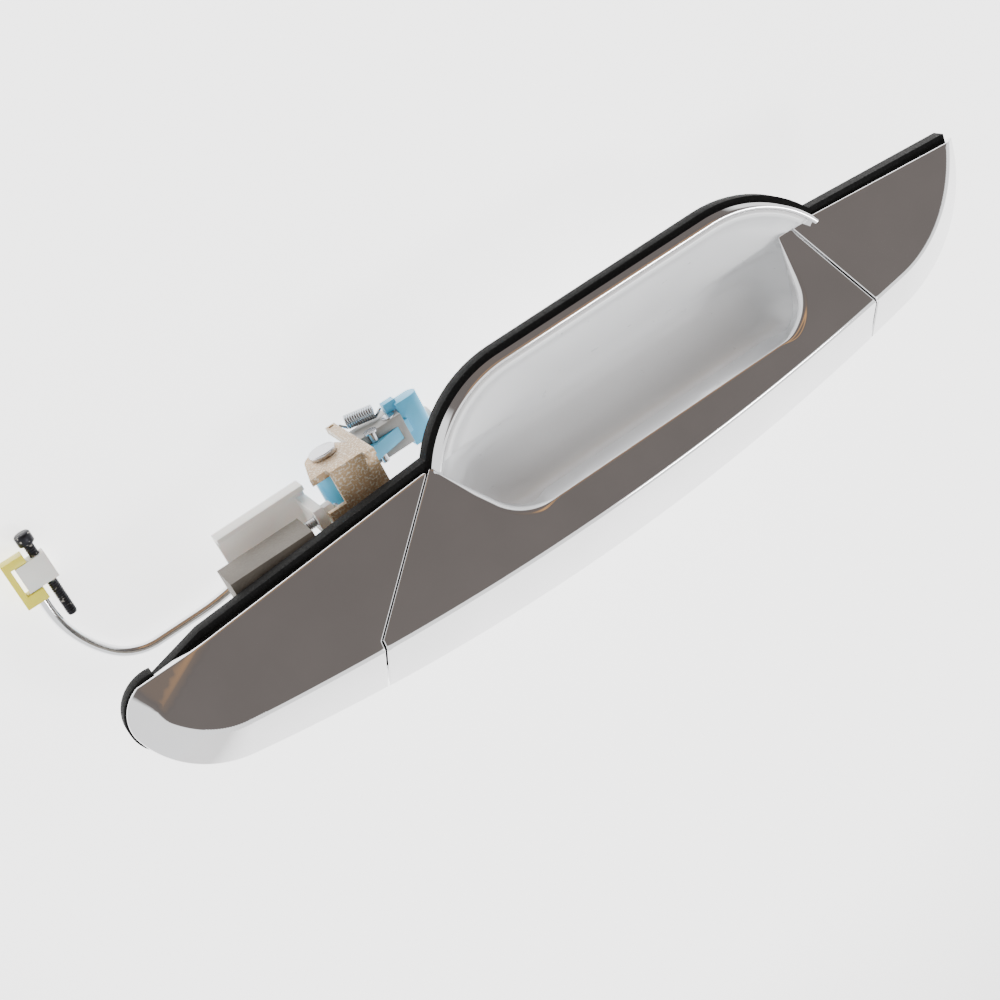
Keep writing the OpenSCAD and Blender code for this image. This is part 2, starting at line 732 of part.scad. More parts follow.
module balance_weight() {
    color([0.55, 0.55, 0.54]) difference() {
        translate([weight_x1, weight_y0, finger_z - 5]) cube([weight_l, weight_y1 - weight_y0, weight_h]);
        translate([0, weight_y0 + 3 - 0.05, 0]) rotate([90, 0, 0]) mirror([0, 0, 1]) linear_extrude(4.1)
            polygon([[pivot_x, pivot_z + 3.05], [pivot_x, pivot_z - 4.05], [finger_x + 4, finger_z - 2.65],
                [finger_x + 4, finger_z + 3.65]]);
        for (x = weight_rivet_x) translate([x, -40, finger_z + (x - finger_x) * 0.32]) cyl_y(1.2 + fix_fit, 40);
    }
}

module weight_rivets() {
    color([0.7, 0.7, 0.7]) for (x = weight_rivet_x) translate([x, weight_y0 - 0.5, finger_z + (x - finger_x) * 0.32]) {
        cyl_y(1.2, weight_y1 - weight_y0 + 0.8);
        cyl_y(2, 0.48);
    }
}

module rod_bush() {
    color([0.93, 0.93, 0.9]) translate([eye_x, eye_y - eye_arm_t, eye_z]) difference() {
        union() {
            cyl_y(rod_r + rod_bush_wall, eye_arm_t);
            translate([0, eye_arm_t, 0]) cyl_y(rod_r + rod_bush_wall + 1.2, 1);
        }
        translate([0, -1, 0]) cyl_y(rod_r + run_fit, 20);
    }
}

// ---- latch rod ----

// Centre line of the rod in its plane: each entry is a point and its heading
function rod_arc(c, r, h0, h1, n) = [for (i = [1:n]) let (h = h0 + (h1 - h0) * i / n)
    [c + r * [-sin(h), cos(h)], h]];

module swept_rod(path, r, sides) {
    points = [for (q = path) for (k = [0:sides - 1]) let (b = 360 * k / sides, w = r * cos(b))
        [q[0].x - w * sin(q[1]), q[0].y + w * cos(q[1]), -r * sin(b)]];
    steps = len(path) - 1;
    skin_faces = [for (i = [0:steps - 1]) for (k = [0:sides - 1]) let (m = (k + 1) % sides)
        [i * sides + k, i * sides + m, (i + 1) * sides + m, (i + 1) * sides + k]];
    first = [for (k = [sides - 1:-1:0]) k];
    last = [for (k = [0:sides - 1]) steps * sides + k];
    polyhedron(points, concat(skin_faces, [first], [last]));
}

module latch_rod() {
    path = concat([[[0, -0.4], 90]],
        rod_arc([hook_bend, 0], hook_bend, 90, rod_a1, 12),
        rod_arc(rod_p1 + rod_bend1 * [sin(rod_a1), -cos(rod_a1)], rod_bend1, rod_a1, 0, 3),
        rod_arc(rod_p3 - [0, rod_bend2], rod_bend2, 0, -rod_a2, 8),
        rod_arc(rod_p4 - rod_bend3 * [sin(rod_a2), cos(rod_a2)], rod_bend3, -rod_a2, -rod_a3, 6));
    color([0.85, 0.86, 0.88]) translate([eye_x, hook_y, eye_z]) {
        translate([0, -hook_l, 0]) cyl_y(rod_r, hook_l + 0.3);
        swept_rod(path, rod_r + 0.03, 20);
        translate([rod_p5.x, rod_p5.y, 0]) rotate([0, 0, -rod_a3]) translate([-0.3, 0, 0]) cyl_x(rod_r, rod_tail + 0.3);
    }
}

module clip_barrel() {
    color([0.93, 0.93, 0.91]) translate(clip_at) difference() {
        translate([-7.3, -9.5, -2.6]) cube([9.1, 8, 4.5]);
        translate([0, 5, 0]) rotate([90, 0, 0]) cylinder(r = rod_r + fix_fit, h = 9);
        translate([stud_off.x, 5, stud_off.z]) rotate([90, 0, 0]) cylinder(r = stud_r + fix_fit, h = 20);
    }
}

module threaded_stud() {
    color([0.3, 0.31, 0.34]) translate(clip_at) translate([stud_off.x, 10.5, stud_off.z]) rotate([90, 0, 0]) {
        cylinder(r = stud_r, h = stud_l);
        translate([0, 0, stud_l]) cylinder(r = 2.4, h = 3);
    }
}

module clip_latch() {
    color([0.93, 0.9, 0.35]) translate(clip_at) difference() {
        union() {
            translate([2.9, -12.2, -2.2]) cube([1.8, 14.4, 4.4]);
            translate([-2, -1.2, -2.2]) cube([6.7, 3.4, 4.4]);
            translate([-2, -12.2, -2.2]) cube([6.7, 2.4, 4.4]);
        }
        translate([0, 5, 0]) rotate([90, 0, 0]) cylinder(r = rod_r + run_fit, h = 7);
    }
}

bezel();
finger_cup();
gasket();
base_frame();
threaded_inserts();
bezel_screws();
bump_stops();
hinge_pins();
grip_spring();
crank_bracket();
bracket_rivets();
pivot_pin();
pivot_clip();
crank_spring();
guide_screw();
guide_nut();
rod_guide();
grip_shell();
grip_carrier();
grip_screws();
arm_cap();
bell_crank();
pivot_bush();
balance_weight();
weight_rivets();
rod_bush();
latch_rod();
clip_barrel();
threaded_stud();
clip_latch();
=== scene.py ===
import bpy
import bmesh
import json
import math
import numpy as np
from mathutils import Vector, Matrix
from mathutils.geometry import delaunay_2d_cdt

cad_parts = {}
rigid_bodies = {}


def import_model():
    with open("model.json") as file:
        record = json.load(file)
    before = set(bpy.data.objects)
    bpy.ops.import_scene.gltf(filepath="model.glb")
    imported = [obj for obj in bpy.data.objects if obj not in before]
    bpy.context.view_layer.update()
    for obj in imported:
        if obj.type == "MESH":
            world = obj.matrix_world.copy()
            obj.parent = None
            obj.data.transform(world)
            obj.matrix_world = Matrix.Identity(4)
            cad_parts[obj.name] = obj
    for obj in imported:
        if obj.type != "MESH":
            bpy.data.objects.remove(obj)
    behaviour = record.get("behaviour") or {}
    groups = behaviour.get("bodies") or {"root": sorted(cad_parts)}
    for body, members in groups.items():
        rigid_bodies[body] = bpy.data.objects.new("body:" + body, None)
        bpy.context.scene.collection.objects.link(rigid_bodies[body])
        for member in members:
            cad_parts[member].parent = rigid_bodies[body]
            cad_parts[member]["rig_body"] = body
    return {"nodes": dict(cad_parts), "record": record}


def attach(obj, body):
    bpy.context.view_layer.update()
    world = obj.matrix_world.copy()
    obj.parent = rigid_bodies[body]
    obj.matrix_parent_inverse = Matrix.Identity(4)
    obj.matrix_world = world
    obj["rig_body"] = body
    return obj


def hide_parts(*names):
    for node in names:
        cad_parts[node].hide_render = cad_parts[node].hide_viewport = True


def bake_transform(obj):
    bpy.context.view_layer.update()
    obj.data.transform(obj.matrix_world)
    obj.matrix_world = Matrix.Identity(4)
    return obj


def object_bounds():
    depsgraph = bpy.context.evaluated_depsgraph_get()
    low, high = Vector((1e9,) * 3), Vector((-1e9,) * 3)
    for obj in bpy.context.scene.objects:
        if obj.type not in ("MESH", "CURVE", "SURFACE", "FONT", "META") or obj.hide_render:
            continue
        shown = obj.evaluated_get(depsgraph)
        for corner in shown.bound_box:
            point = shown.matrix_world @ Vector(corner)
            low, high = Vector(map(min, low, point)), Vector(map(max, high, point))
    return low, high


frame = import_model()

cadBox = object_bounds()
mm = 0.001
nodes = frame["nodes"]

# The door handle's outline in millimetres: a long convex edge, a round nose, a small chin and a slim tip
outline = {
    "edgeCentre": (18.0, -570.0), "edgeRadius": 600.0,
    "noseX": 125.0, "noseRadius": 30.0,
    "chinRadius": 11.0, "chinClear": 0.8,
    "tipX": -90.0, "tipRadius": 42.0,
    "chordY": -22.0, "noseRise": 3.7, "tipRise": 4.6,   # lower edges of the two wings, degrees
    "archX": -15.0, "archHalf": 35.0, "archRadius": 36.0, "archY": -2.3,
    "bandZ": 5.0, "bandAngle": 37.4,                     # sloping band round the convex edge
    "faceZ": 5.8, "faceAngle": 20.0,                     # tilted front face
    "creaseSoftness": 0.7,
}


def tand(a):
    return math.tan(math.radians(a))


edgeC = np.array(outline["edgeCentre"])
edgeR = outline["edgeRadius"]


def centreInside(x, r):
    return np.array([x, edgeC[1] + math.sqrt((edgeR - r) ** 2 - (x - edgeC[0]) ** 2)])


noseC = centreInside(outline["noseX"], outline["noseRadius"])
tipC = centreInside(outline["tipX"], outline["tipRadius"])
archC = np.array([outline["archX"], outline["archY"]])
chordY = outline["chordY"]
archCorner = math.sqrt(outline["archRadius"] ** 2 - (chordY - archC[1]) ** 2) + outline["archHalf"]
chinY = (chordY + (noseC[0] - archC[0] - archCorner) * tand(outline["noseRise"])
         + outline["chinRadius"] / math.cos(math.radians(outline["noseRise"])) + outline["chinClear"])
chinC = np.array([noseC[0] + math.sqrt((outline["noseRadius"] - outline["chinRadius"]) ** 2
                                       - (chinY - noseC[1]) ** 2), chinY])


def bearing(a, b):
    return math.degrees(math.atan2(b[1] - a[1], b[0] - a[0]))


tipA, noseA, chinA = bearing(edgeC, tipC), bearing(edgeC, noseC), bearing(noseC, chinC)


def arcPoints(c, r, a0, a1, step=0.7):
    n = max(3, int(abs(math.radians(a1 - a0)) * r / step))
    a = np.radians(np.linspace(a0, a1, n + 1))
    return np.stack([c[0] + r * np.cos(a), c[1] + r * np.sin(a)], 1)


lowHeading = math.radians(14.0)   # the band runs out along this line under the chin
chinEndA = -90 + 14.0
chinEnd = chinC + outline["chinRadius"] * np.array([math.cos(math.radians(chinEndA)),
                                                    math.sin(math.radians(chinEndA))])
lowNormal = np.array([-math.sin(lowHeading), math.cos(lowHeading)])


def angleFrom(c, p):
    return np.degrees(np.arctan2(p[:, 1] - c[1], p[:, 0] - c[0]))


def reach(c, p):
    return np.hypot(p[:, 0] - c[0], p[:, 1] - c[1])


def inset(p):
    # distance inside the convex edge, nose, chin and tip
    around = angleFrom(edgeC, p)
    d = edgeR - reach(edgeC, p)
    d = np.where(around < noseA, outline["noseRadius"] - reach(noseC, p), d)
    d = np.where(around > tipA, outline["tipRadius"] - reach(tipC, p), d)
    atChin = angleFrom(chinC, p)
    right = around < noseA
    d = np.where(right & (atChin > chinEndA) & (atChin < chinA), outline["chinRadius"] - reach(chinC, p), d)
    return np.where(atChin <= chinEndA, np.minimum(d, (p - chinEnd) @ lowNormal), d)


def roof(p):
    # height of the front at each point: the lower of the band and the tilted face, softened where they meet
    band = outline["bandZ"] + inset(p) * tand(outline["bandAngle"])
    face = outline["faceZ"] + (p[:, 1] - chordY) * tand(outline["faceAngle"])
    k = outline["creaseSoftness"]
    h = np.clip(0.5 + 0.5 * (face - band) / k, 0, 1)
    return face * (1 - h) + band * h - k * h * (1 - h)


def fieldNormals(zFunc, p):
    e = 0.03
    gx = (zFunc(p + [e, 0]) - zFunc(p - [e, 0])) / (2 * e)
    gy = (zFunc(p + [0, e]) - zFunc(p - [0, e])) / (2 * e)
    n = np.stack([-gx, -gy, np.ones(len(p))], 1)
    return n / np.linalg.norm(n, axis=1)[:, None]


def seamCross(a, b, line):
    # where the line from a to b meets y = line(x)
    t0, t1 = 0.0, 1.0
    f = lambda t: (a[1] + (b[1] - a[1]) * t) - line(a[0] + (b[0] - a[0]) * t)
    for _ in range(60):
        tm = (t0 + t1) / 2
        if (f(t0) < 0) == (f(tm) < 0):
            t0 = tm
        else:
            t1 = tm
    return np.array([a[0] + (b[0] - a[0]) * t0, a[1] + (b[1] - a[1]) * t0])


def edgeLine(x):
    return edgeC[1] + math.sqrt(edgeR ** 2 - (x - edgeC[0]) ** 2)


def noseLow(x):
    return chordY + (x - archC[0] - archCorner) * tand(outline["noseRise"])


def tipLow(x):
    return chordY + (archC[0] - archCorner - x) * tand(outline["tipRise"])


def densify(points, step=0.6):
    # splits long sides of a closed outline
    out = []
    for i in range(len(points)):
        a, b = np.array(points[i], float), np.array(points[(i + 1) % len(points)], float)
        n = max(1, int(np.linalg.norm(b - a) / step))
        out += [a + (b - a) * k / n for k in range(n)]
    return np.array(out)


def roundCorners(points, radius, sharp=25):
    # replaces each sharp corner of a closed outline by a small arc
    out = []
    n = len(points)
    for i in range(n):
        p, a, b = points[i], points[i - 1], points[(i + 1) % n]
        u, v = a - p, b - p
        lu, lv = np.linalg.norm(u), np.linalg.norm(v)
        if lu < 1e-6 or lv < 1e-6:
            continue
        u, v = u / lu, v / lv
        turn = 180 - math.degrees(math.acos(np.clip(u @ v, -1, 1)))
        if turn < sharp:
            out.append(p)
            continue
        cut = min(radius * math.tan(math.radians(turn / 2)), lu * 0.49, lv * 0.49)
        s, e = p + u * cut, p + v * cut
        for k in range(6):
            t = k / 5
            out.append((1 - t) ** 2 * s + 2 * t * (1 - t) * p + t ** 2 * e)
    return np.array(out)


def outward(loop):
    t = np.roll(loop, -1, 0) - np.roll(loop, 1, 0)
    t = t / np.linalg.norm(t, axis=1)[:, None]
    return np.stack([t[:, 1], -t[:, 0]], 1)


def distanceTo(loop, p):
    a, b = loop, np.roll(loop, -1, 0)
    best = np.full(len(p), 1e9)
    for i in range(0, len(p), 4000):
        q = p[i:i + 4000, None, :]
        ab = (b - a)[None]
        t = np.clip(((q - a[None]) * ab).sum(2) / (ab ** 2).sum(2), 0, 1)
        best[i:i + 4000] = np.sqrt((((a[None] + ab * t[..., None]) - q) ** 2).sum(2)).min(1)
    return best


def insideLoop(loop, p):
    a, b = loop, np.roll(loop, -1, 0)
    hit = np.zeros(len(p), bool)
    for (ax, ay), (bx, by) in zip(a, b):
        if ay == by:
            continue
        cross = (ay > p[:, 1]) != (by > p[:, 1])
        hit ^= cross & (p[:, 0] < (bx - ax) * (p[:, 1] - ay) / (by - ay) + ax)
    return hit


def newPiece(name, verts, faces, normals=None, smooth=True):
    mesh = bpy.data.meshes.new(name)
    mesh.from_pydata([tuple(v) for v in np.asarray(verts) * mm], [], [tuple(int(i) for i in f) for f in faces])
    mesh.validate()
    mesh.update()
    mesh.polygons.foreach_set("use_smooth", [smooth] * len(mesh.polygons))
    if normals is not None and len(mesh.vertices) == len(normals):
        mesh.normals_split_custom_set_from_vertices([tuple(n) for n in normals])
    piece = bpy.data.objects.new(name, mesh)
    bpy.context.scene.collection.objects.link(piece)
    return piece


def capPoints(loop, grid, rows=None):
    # points inside the loop: an even grid, and close rows along the crease
    lo, hi = loop.min(0), loop.max(0)
    gx, gy = np.meshgrid(np.arange(lo[0], hi[0], grid), np.arange(lo[1], hi[1], grid))
    p = np.stack([gx.ravel(), gy.ravel()], 1)
    if rows is not None and len(rows):
        near = distanceTo(rows, p) if len(rows) > 2 else np.full(len(p), 1e9)
        p = np.concatenate([p[near > grid * 0.7], rows])
    p = p[insideLoop(loop, p)]
    return p[distanceTo(loop, p) > grid * 0.45]


def creaseRows(x0, x1, step, offsets):
    # points on and beside the crease between the band and the face
    out = []
    for x in np.arange(x0, x1, step):
        ys = np.linspace(-24, 30, 1400)
        p = np.stack([np.full(len(ys), x), ys], 1)
        d = inset(p)
        band = outline["bandZ"] + d * tand(outline["bandAngle"])
        face = outline["faceZ"] + (ys - chordY) * tand(outline["faceAngle"])
        ok = (d > 0) & (band < face)
        if not ok.any():
            continue
        yc = ys[ok.argmax()]
        out += [[x, yc + o] for o in offsets]
    return np.array(out)


def creaseFan(centre, a0, a1, step, offsets):
    # the same rows where the crease turns down round an end, found along rays from inside the face
    out = []
    r = np.linspace(0, 60, 1800)
    for a in np.arange(a0, a1, step):
        d = np.array([math.cos(math.radians(a)), math.sin(math.radians(a))])
        p = np.array(centre) + r[:, None] * d
        band = outline["bandZ"] + inset(p) * tand(outline["bandAngle"])
        face = outline["faceZ"] + (p[:, 1] - chordY) * tand(outline["faceAngle"])
        below = band < face
        if below.any() and not below[0]:
            out += [np.array(centre) + (r[below.argmax()] + o) * d for o in offsets]
    return np.array(out)


def fillCap(loop, inner, flip=False):
    pts = np.concatenate([loop, inner])
    n = len(loop)
    res = delaunay_2d_cdt([Vector(p) for p in pts], [], [list(range(n))], 1, 1e-5)
    xy = np.array([tuple(v) for v in res[0]])
    tris = [tuple(f) for f in res[2]]
    if flip:
        tris = [t[::-1] for t in tris]
    return xy, tris, res[3]


def smoothLoop(values, passes):
    v = np.array(values, float)
    for _ in range(passes):
        v = (np.roll(v, 1) + v * 2 + np.roll(v, -1)) / 4
    return v


def shellPiece(name, loop, zTop, zRim, zUnder, topRound, rimRound, grid=1.4, rows=None, wall=2.2):
    # a moulded shell: rounded top edges, side walls, and a hollow underside
    n = len(loop)
    out = outward(loop)
    topRound = np.broadcast_to(topRound, n)
    rimRound = np.broadcast_to(rimRound, n)
    start = loop - out * topRound[:, None]
    inner = capPoints(start, grid, rows)
    xy, tris, _ = fillCap(start, inner)
    verts = [np.column_stack([xy, zTop(xy)])]
    normals = [fieldNormals(zTop, xy)]
    faces = list(tris)
    count = len(xy)
    topN = fieldNormals(zTop, loop)
    rings = []
    for th in (22.5, 45, 67.5, 90):
        s, c = math.sin(math.radians(th)), math.cos(math.radians(th))
        p = loop - out * (topRound * (1 - s))[:, None]
        rings.append((np.column_stack([p, zTop(p) - topRound * (1 - c)]),
                      topN * c + np.column_stack([out, np.zeros(n)]) * s))
    rim = np.minimum(zRim(loop), zTop(loop) - topRound - rimRound - 0.05)
    for th in (0, 45, 90):
        s, c = math.sin(math.radians(th)), math.cos(math.radians(th))
        p = loop - out * (rimRound * (1 - c))[:, None]
        rings.append((np.column_stack([p, rim + rimRound * (1 - s)]),
                      np.column_stack([out * c, np.full(n, -s)])))
    previous = np.arange(n)
    for v, nn in rings:
        ids = count + np.arange(n)
        verts.append(v)
        normals.append(nn / np.linalg.norm(nn, axis=1)[:, None])
        for i in range(n):
            j = (i + 1) % n
            faces.append((previous[i], ids[i], ids[j], previous[j]))
        previous = ids
        count += n
    last = rings[-1][0]
    edge2 = last[:, :2]

    def low(p):
        d = distanceTo(loop, p)
        t = np.clip((d - wall) / 0.5, 0, 1)
        near = np.array([last[k, 2] for k in nearest(edge2, p)])
        return near * (1 - t) + zUnder(p) * t

    more = [capPoints(edge2, grid * 1.3)]
    for w in (wall, wall + 0.5):
        q = loop - out * w
        q = q[::2]
        q = q[insideLoop(loop, q)]
        more.append(q[np.abs(distanceTo(loop, q) - w) < 0.06])
    under = np.concatenate(more)
    xy2, tris2, _ = fillCap(edge2, under, flip=True)
    z2 = low(xy2)
    z2[:n] = last[:, 2]
    remap = np.concatenate([previous, count + np.arange(len(xy2) - n)])
    verts.append(np.column_stack([xy2, z2])[n:])
    normals.append(-fieldNormals(low, xy2)[n:])
    faces += [tuple(remap[list(t)]) for t in tris2]
    return newPiece(name, np.concatenate(verts), faces, np.concatenate(normals))


def nearest(loop, p):
    out = np.zeros(len(p), int)
    for i in range(0, len(p), 4000):
        q = p[i:i + 4000]
        out[i:i + 4000] = ((q[:, None, :] - loop[None]) ** 2).sum(2).argmin(1)
    return out


# The seams on both sides of the grip, from the lower corner over the crease to the convex edge
seams = {
    "nose": [(47.03, -26.0), (87.6, 7.4), (93.0, 40.0)],
    "tip": [(-72.0, -26.0), (-84.6, 8.0), (-82.5, 40.0)],
    "gap": 0.4,
}
creaseOffsets = (-2.4, -1.7, -1.1, -0.7, -0.35, 0, 0.35, 0.7, 1.1, 1.7, 2.4)

bezelSettings = {
    "bottom": 4.5, "skin": 2.4, "edge": 0.45, "foot": 0.25,
    "rimTop": 9.0, "rimWall": 1.5, "rimLean": 50,
}


def chinStart():
    # where the nose wing's lower edge runs into the chin
    lo, hi = chinC[0], chinC[0] + outline["chinRadius"]
    for _ in range(50):
        m = (lo + hi) / 2
        inside = (m - chinC[0]) ** 2 + (noseLow(m) - chinC[1]) ** 2 < outline["chinRadius"] ** 2
        lo, hi = (m, hi) if inside else (lo, m)
    return np.array([lo, noseLow(lo)])


def tipEnd():
    # where the tip wing's lower edge meets the tip's round
    lo, hi = tipC[0] - outline["tipRadius"], tipC[0]
    for _ in range(50):
        m = (lo + hi) / 2
        inside = (m - tipC[0]) ** 2 + (tipLow(m) - tipC[1]) ** 2 < outline["tipRadius"] ** 2
        lo, hi = (lo, m) if inside else (m, hi)
    return np.array([lo, tipLow(lo)])


def noseLoop():
    s = [np.array(p) for p in seams["nose"]]
    low = seamCross(s[0], s[1], noseLow)
    top = seamCross(s[1], s[2], edgeLine)
    start = chinStart()
    points = np.concatenate([
        [low], arcPoints(chinC, outline["chinRadius"], bearing(chinC, start), chinA)[:-1],
        arcPoints(noseC, outline["noseRadius"], chinA, noseA)[:-1],
        arcPoints(edgeC, edgeR, noseA, bearing(edgeC, top)), [s[1]]])
    return densify(roundCorners(points, 0.7))


def tipLoop():
    s = [np.array(p) for p in seams["tip"]]
    top = seamCross(s[1], s[2], edgeLine)
    end = tipEnd()
    inner = seamCross(s[0], s[1], lambda x: chordY)
    points = np.concatenate([
        arcPoints(edgeC, edgeR, bearing(edgeC, top), tipA)[:-1],
        arcPoints(tipC, outline["tipRadius"], tipA, bearing(tipC, end) % 360),
        [[archC[0] - archCorner, chordY]], [inner], [s[1]]])
    return densify(roundCorners(points, 0.7))


def archWall():
    # the upright rim round the arch, swept along its middle line
    b = bezelSettings
    mid = outline["archRadius"] - b["rimWall"] / 2
    drop = math.degrees(math.asin((chordY + 1.3 - archC[1]) / mid))
    right = archC + [outline["archHalf"], 0]
    left = archC - [outline["archHalf"], 0]
    path = np.concatenate([arcPoints(right, mid, drop, -90, 0.8), arcPoints(left, mid, -90, -180 - drop, 0.8)])
    tangent = np.gradient(path, axis=0)
    tangent /= np.linalg.norm(tangent, axis=1)[:, None]
    side = np.stack([-tangent[:, 1], tangent[:, 0]], 1)   # away from the cup
    half, r = b["rimWall"] / 2, 0.68
    profile = [(-half, b["bottom"], -90), (-half, b["rimTop"] - r, -90)]
    for a in (-67, -45, -22, 0, 15, 30, 45):
        profile.append((math.sin(math.radians(a)) * r + math.copysign(half - r, a) * (a != 0),
                        b["rimTop"] - r + r * math.cos(math.radians(a)), a))
    profile += [(half, b["rimTop"] - r, b["rimLean"]), (half, b["bottom"], b["rimLean"])]
    verts, normals, faces = [], [], []
    m = len(profile)
    for o, z, a in profile:
        verts.append(np.column_stack([path + side * o, np.full(len(path), z)]))
        s, c = math.sin(math.radians(a)), math.cos(math.radians(a))
        normals.append(np.column_stack([side * s, np.full(len(path), c)]))
    n = len(path)
    for k in range(m):
        for i in range(n - 1):
            a, b2 = k * n + i, ((k + 1) % m) * n + i
            faces.append((a, a + 1, b2 + 1, b2))
    faces.append(tuple(k * n for k in range(m)))
    faces.append(tuple(k * n + n - 1 for k in range(m))[::-1])
    return newPiece("archRim", np.concatenate(verts), faces, np.concatenate(normals))


print("bezel: wings and arch")
crease = np.concatenate([
    creaseRows(-78, 100, 0.9, creaseOffsets),
    creaseFan((101, -16), -20, 90, 0.9, creaseOffsets),
    creaseFan((-79, -18), 91, 200, 0.9, creaseOffsets),
])
bottom = lambda p: np.full(len(p), bezelSettings["bottom"])
hollow = lambda p: np.maximum(roof(p) - bezelSettings["skin"], bezelSettings["bottom"])
bezelParts = [
    shellPiece("bezelNose", noseLoop(), roof, bottom, hollow, bezelSettings["edge"], bezelSettings["foot"],
               rows=crease),
    shellPiece("bezelTip", tipLoop(), roof, bottom, hollow, bezelSettings["edge"], bezelSettings["foot"],
               rows=crease),
    archWall(),
]
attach(bezelParts[0], "base")
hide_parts("bezel")
for piece in bezelParts[1:]:
    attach(piece, "base")

# The flap grip, with a thick rolled lip round the hand opening
gripSettings = {
    "bottom": 5.75, "skin": 2.2, "edge": 0.4, "foot": 0.25,
    "lipThickness": 5.5, "lipRound": 2.1, "lipFoot": 1.2,
    "noseCircle": (27.0, -14.0, 16.0), "tipCircle": (-53.5, -10.0, 12.0),
    "noseCorner": (53.0, -26.0), "tipCorner": (-69.5, -26.0),
}


def tangentAngle(centre, r, point, side):
    d = np.array(point) - centre
    return math.degrees(math.atan2(d[1], d[0])) + side * math.degrees(math.acos(r / np.linalg.norm(d)))


def openingPoints():
    # the upper boundary of the hand opening, from the tip side to the nose side
    g = gripSettings
    tc, tr = np.array(g["tipCircle"][:2]), g["tipCircle"][2]
    nc, nr = np.array(g["noseCircle"][:2]), g["noseCircle"][2]
    a0 = tangentAngle(tc, tr, g["tipCorner"], -1)
    a1 = tangentAngle(nc, nr, g["noseCorner"], 1)
    return np.concatenate([arcPoints(tc, tr, a0 % 360, 90), arcPoints(nc, nr, 90, a1)])


def gripLoop():
    gap = np.array([seams["gap"], 0])
    s = [np.array(p) - gap for p in seams["nose"]]
    t = [np.array(p) + gap for p in seams["tip"]]
    topN, topT = seamCross(s[1], s[2], edgeLine), seamCross(t[1], t[2], edgeLine)
    lip = openingPoints()
    cornerT = seamCross(t[0], t[1], lambda x: chordY)
    lipT = lip[0] + (np.array(gripSettings["tipCorner"]) - lip[0]) * (lip[0][1] - chordY) / (lip[0][1] + 26.0)
    cornerN = seamCross(s[0], s[1], lambda x: chordY)
    points = np.concatenate([[cornerN], [s[1]], arcPoints(edgeC, edgeR, bearing(edgeC, topN),
                            bearing(edgeC, topT)), [t[1]], [cornerT], [lipT], lip])
    return densify(roundCorners(points, 0.6)), lip


def gripShape():
    g = gripSettings
    loop, lip = gripLoop()
    nearLip = distanceTo(np.concatenate([lip, lip[::-1]]), loop) < 0.05
    nearLip |= (loop[:, 1] < 1.9) & (loop[:, 0] > -69.6) & (loop[:, 0] < 50.0)
    weight = smoothLoop(nearLip, 12)
    topRound = g["edge"] + (g["lipRound"] - g["edge"]) * weight
    rimRound = g["foot"] + (g["lipFoot"] - g["foot"]) * weight
    room = roof(loop) - g["bottom"]
    topRound = np.minimum(topRound, np.maximum(room * 0.5, 0.2))
    rimRound = np.minimum(rimRound, np.maximum(room * 0.25, 0.1))

    def rim(p):
        w = np.array([weight[k] for k in nearest(loop, p)])
        return g["bottom"] + np.maximum(roof(p) - g["lipThickness"] - g["bottom"], 0) * w

    def under(p):
        return np.maximum(roof(p) - g["skin"], g["bottom"])

    return shellPiece("gripSkin", loop, roof, rim, under, topRound, rimRound, rows=crease, wall=4.5)


print("grip")
grip = gripShape()
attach(grip, "grip")
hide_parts("grip_shell")

# The finger cup: an upright mouth, a soft turn and a flat floor
cupSettings = {
    "mouthRadius": 32.5, "mouthTop": 8.6, "floorHalf": 42.0, "floorRadius": 11.5, "floorZ": -14.0,
    "floorY": -1.5, "backY": 12.4, "wall": 2.0, "turn": 4.5,
}


def rayLoop(centre, inside, n=288):
    # a closed loop of points where rays from the centre leave a region
    out = []
    for k in range(n):
        a = 2 * math.pi * k / n
        d = np.array([math.cos(a), math.sin(a)])
        lo, hi = 0.0, 140.0
        for _ in range(40):
            m = (lo + hi) / 2
            if inside(centre + d * m):
                lo = m
            else:
                hi = m
        out.append(centre + d * lo)
    return np.array(out)


def stadiumTest(centre, half, r, top=1e9):
    return lambda p: (math.hypot(max(abs(p[0] - centre[0]) - half, 0), p[1] - centre[1]) < r) and p[1] < top


